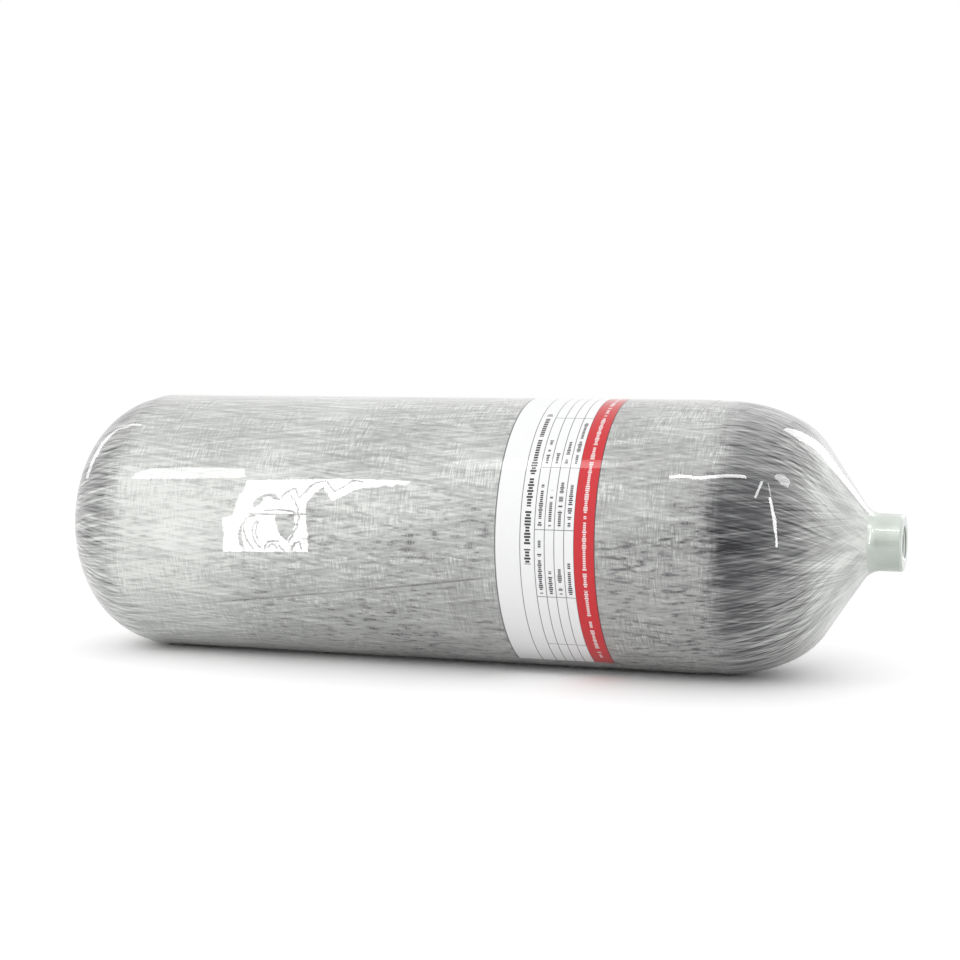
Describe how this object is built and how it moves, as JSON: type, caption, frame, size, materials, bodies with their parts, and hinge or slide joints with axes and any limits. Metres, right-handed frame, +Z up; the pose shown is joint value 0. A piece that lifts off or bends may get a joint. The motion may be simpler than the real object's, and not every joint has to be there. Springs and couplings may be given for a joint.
{
  "type": "composite air tank",
  "caption": "Lightweight high-pressure breathing-air tank: aluminium liner wrapped in carbon and glass fibre, with a threaded neck for a valve.",
  "frame": {"origin": "centre of the footprint, at the bottom of the tank as it lies on its side", "axes": "+X along the tank's axis towards its neck, +Z up, -Y the side that shows the label"},
  "size_m": [0.558, 0.174, 0.174],
  "materials": {
    "liner_metal": "satin, under a thin clear coat",
    "carbon_fibre": "dark carbon fibre in glossy resin",
    "glass_fibre": "pale glass fibre strands in glossy clear resin",
    "glass_sleeve": "dense pale glass fibre threads in glossy clear resin",
    "label_print": "printed sheet under the glossy resin"
  },
  "bodies": {
    "root": {"liner": "liner_metal", "carbon_hoop_winding": "carbon_fibre", "carbon_helical_winding": "carbon_fibre", "glass_helical_winding": "glass_fibre", "glass_hoop_winding": "glass_sleeve", "data_label": "label_print"}
  },
  "joints": []
}
